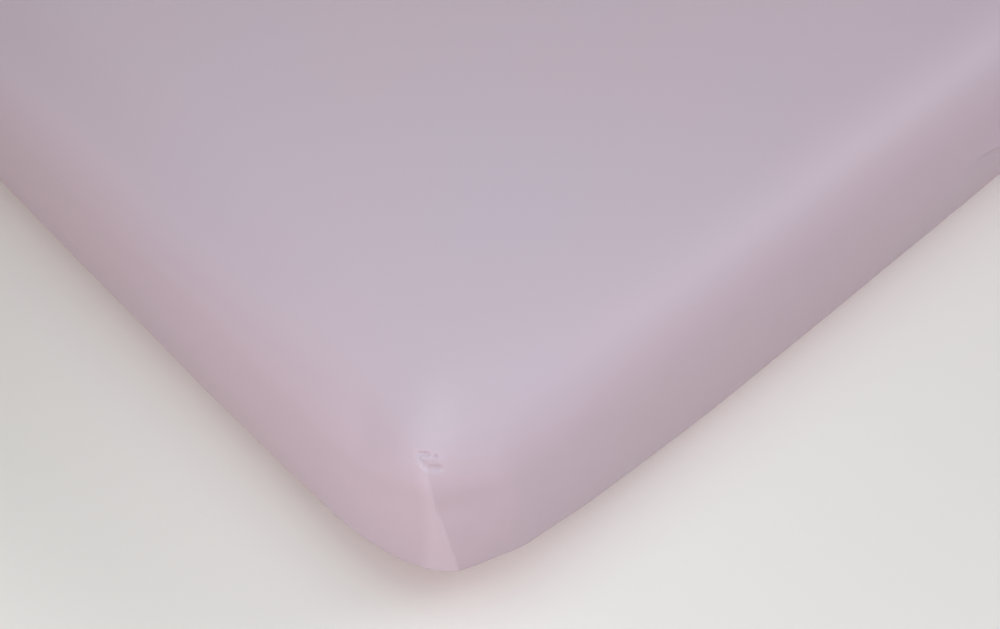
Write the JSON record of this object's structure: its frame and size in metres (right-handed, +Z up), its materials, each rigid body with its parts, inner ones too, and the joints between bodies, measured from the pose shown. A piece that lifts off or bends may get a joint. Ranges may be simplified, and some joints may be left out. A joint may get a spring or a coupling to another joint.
{
  "type": "fitted sheet on a mattress",
  "caption": "Plain fitted sheet stretched smooth over a mattress, with lapped corner seams and a hem that turns under it all round.",
  "frame": {"origin": "on the floor, under the middle of the mattress", "axes": "+X across the mattress, +Y along it, +Z up"},
  "size_m": [0.906, 2.006, 0.205],
  "materials": {
    "sheet_cotton": "smooth, matt with a soft sheen",
    "mattress_ticking": "matt"
  },
  "bodies": {
    "root": {"fitted_sheet": "sheet_cotton", "mattress": "mattress_ticking"}
  },
  "joints": []
}
